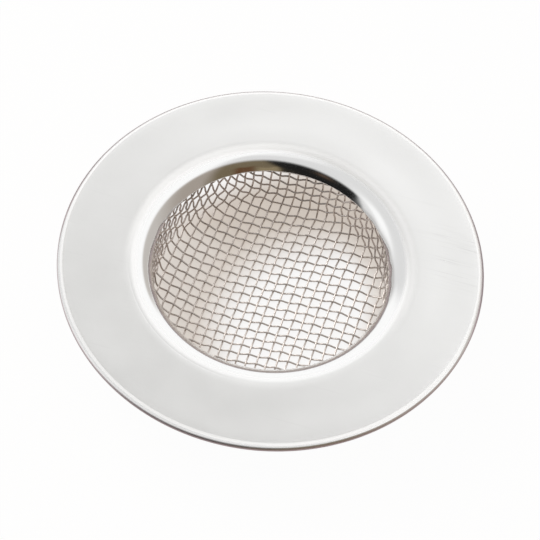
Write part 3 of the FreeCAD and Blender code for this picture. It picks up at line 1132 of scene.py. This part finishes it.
def make_camera(studio, rim):
    """A camera at the photograph's bearing, height and lean, aimed a little below the rim's middle."""
    back = direction(studio.bearing, studio.elevation)
    flat_right = Vector((-math.sin(studio.bearing), math.cos(studio.bearing), 0))
    flat_up = back.cross(flat_right)
    right = flat_right * math.cos(studio.roll) + flat_up * math.sin(studio.roll)
    up = flat_up * math.cos(studio.roll) - flat_right * math.sin(studio.roll)
    data = bpy.data.cameras.new("camera")
    data.lens = studio.lens
    data.clip_start = studio.distance * CLIP_SHARE
    camera = bpy.data.objects.new("camera", data)
    stand = Vector((0, 0, rim.top)) + back * studio.distance
    stand += right * studio.aim_right - up * studio.aim_down
    turned = Matrix((right, up, back)).transposed().to_4x4()
    camera.matrix_world = Matrix.Translation(stand) @ turned
    bpy.context.scene.collection.objects.link(camera)
    bpy.context.scene.camera = camera


# Operators

class STRAINER_OT_rim(Operator):
    """Builds the stamped rim"""

    bl_idname = "strainer.rim"
    bl_label = "Rim"

    def execute(self, context):
        rim, _, cloth = sizes()
        piece = sheet_piece(RIM_PIECE, rim_points(rim, np.random.default_rng(cloth.seed)))
        seat(piece, rim_finish(context.scene.strainer_finishes), "rim_steel", "rim")
        return {"FINISHED"}


class STRAINER_OT_ring(Operator):
    """Builds the pressed ring under the rim"""

    bl_idname = "strainer.ring"
    bl_label = "Ring"

    def execute(self, context):
        piece = sheet_piece("pressed_ring", ring_points(*sizes()))
        seat(piece, ring_finish(context.scene.strainer_finishes), "ring_steel", "retaining_ring")
        return {"FINISHED"}


class STRAINER_OT_basket(Operator):
    """Weaves the basket's warp and weft wires"""

    bl_idname = "strainer.basket"
    bl_label = "Basket"

    def execute(self, context):
        finish = wire_finish(context.scene.strainer_finishes)
        make_wires(True, "warp_wires_", finish)
        make_wires(False, "weft_wires_", finish)
        return {"FINISHED"}


class STRAINER_OT_stage(Operator):
    """Sets up the table, the light and the camera"""

    bl_idname = "strainer.stage"
    bl_label = "Stage"

    def execute(self, context):
        studio = context.scene.strainer_studio
        context.scene.view_settings.view_transform = "Standard"
        make_world(studio)
        rim = context.scene.strainer_rim
        towards = key_direction(studio)
        lit_middle = towards * (-collar_edge_height(rim) / towards.z)
        make_table(studio, table_finish(context.scene.strainer_finishes, lit_middle, rim))
        make_key(studio)
        make_top_light(studio)
        make_camera(studio, rim)
        return {"FINISHED"}


class STRAINER_PT_panel(Panel):
    """Lists the strainer's pieces"""

    bl_idname = "STRAINER_PT_panel"
    bl_label = "Strainer"
    bl_space_type = "VIEW_3D"
    bl_region_type = "UI"
    bl_category = "Strainer"

    def draw(self, context):
        for operator in PIECES:
            self.layout.operator(operator.bl_idname)
        for name, group in SETTINGS.items():
            box = self.layout.box()
            box.label(text=group.__doc__)
            for setting in group.__annotations__:
                box.prop(getattr(context.scene, name), setting)


PIECES = [STRAINER_OT_rim, STRAINER_OT_ring, STRAINER_OT_basket, STRAINER_OT_stage]
SETTINGS = {
    "strainer_rim": RimSizes,
    "strainer_ring": RingSizes,
    "strainer_cloth": ClothSizes,
    "strainer_finishes": Finishes,
    "strainer_studio": Studio,
}


def register():
    """Adds the settings, the operators and the panel."""
    for name, group in SETTINGS.items():
        bpy.utils.register_class(group)
        setattr(bpy.types.Scene, name, PointerProperty(type=group))
    for kind in [*PIECES, STRAINER_PT_panel]:
        bpy.utils.register_class(kind)


def unregister():
    """Takes them away again."""
    for kind in [STRAINER_PT_panel, *reversed(PIECES)]:
        bpy.utils.unregister_class(kind)
    for name, group in reversed(SETTINGS.items()):
        delattr(bpy.types.Scene, name)
        bpy.utils.unregister_class(group)


def main():
    """Builds every piece and the stage."""
    register()
    bpy.ops.strainer.rim()
    bpy.ops.strainer.ring()
    bpy.ops.strainer.basket()
    bpy.ops.strainer.stage()


if __name__ == "__main__":
    main()
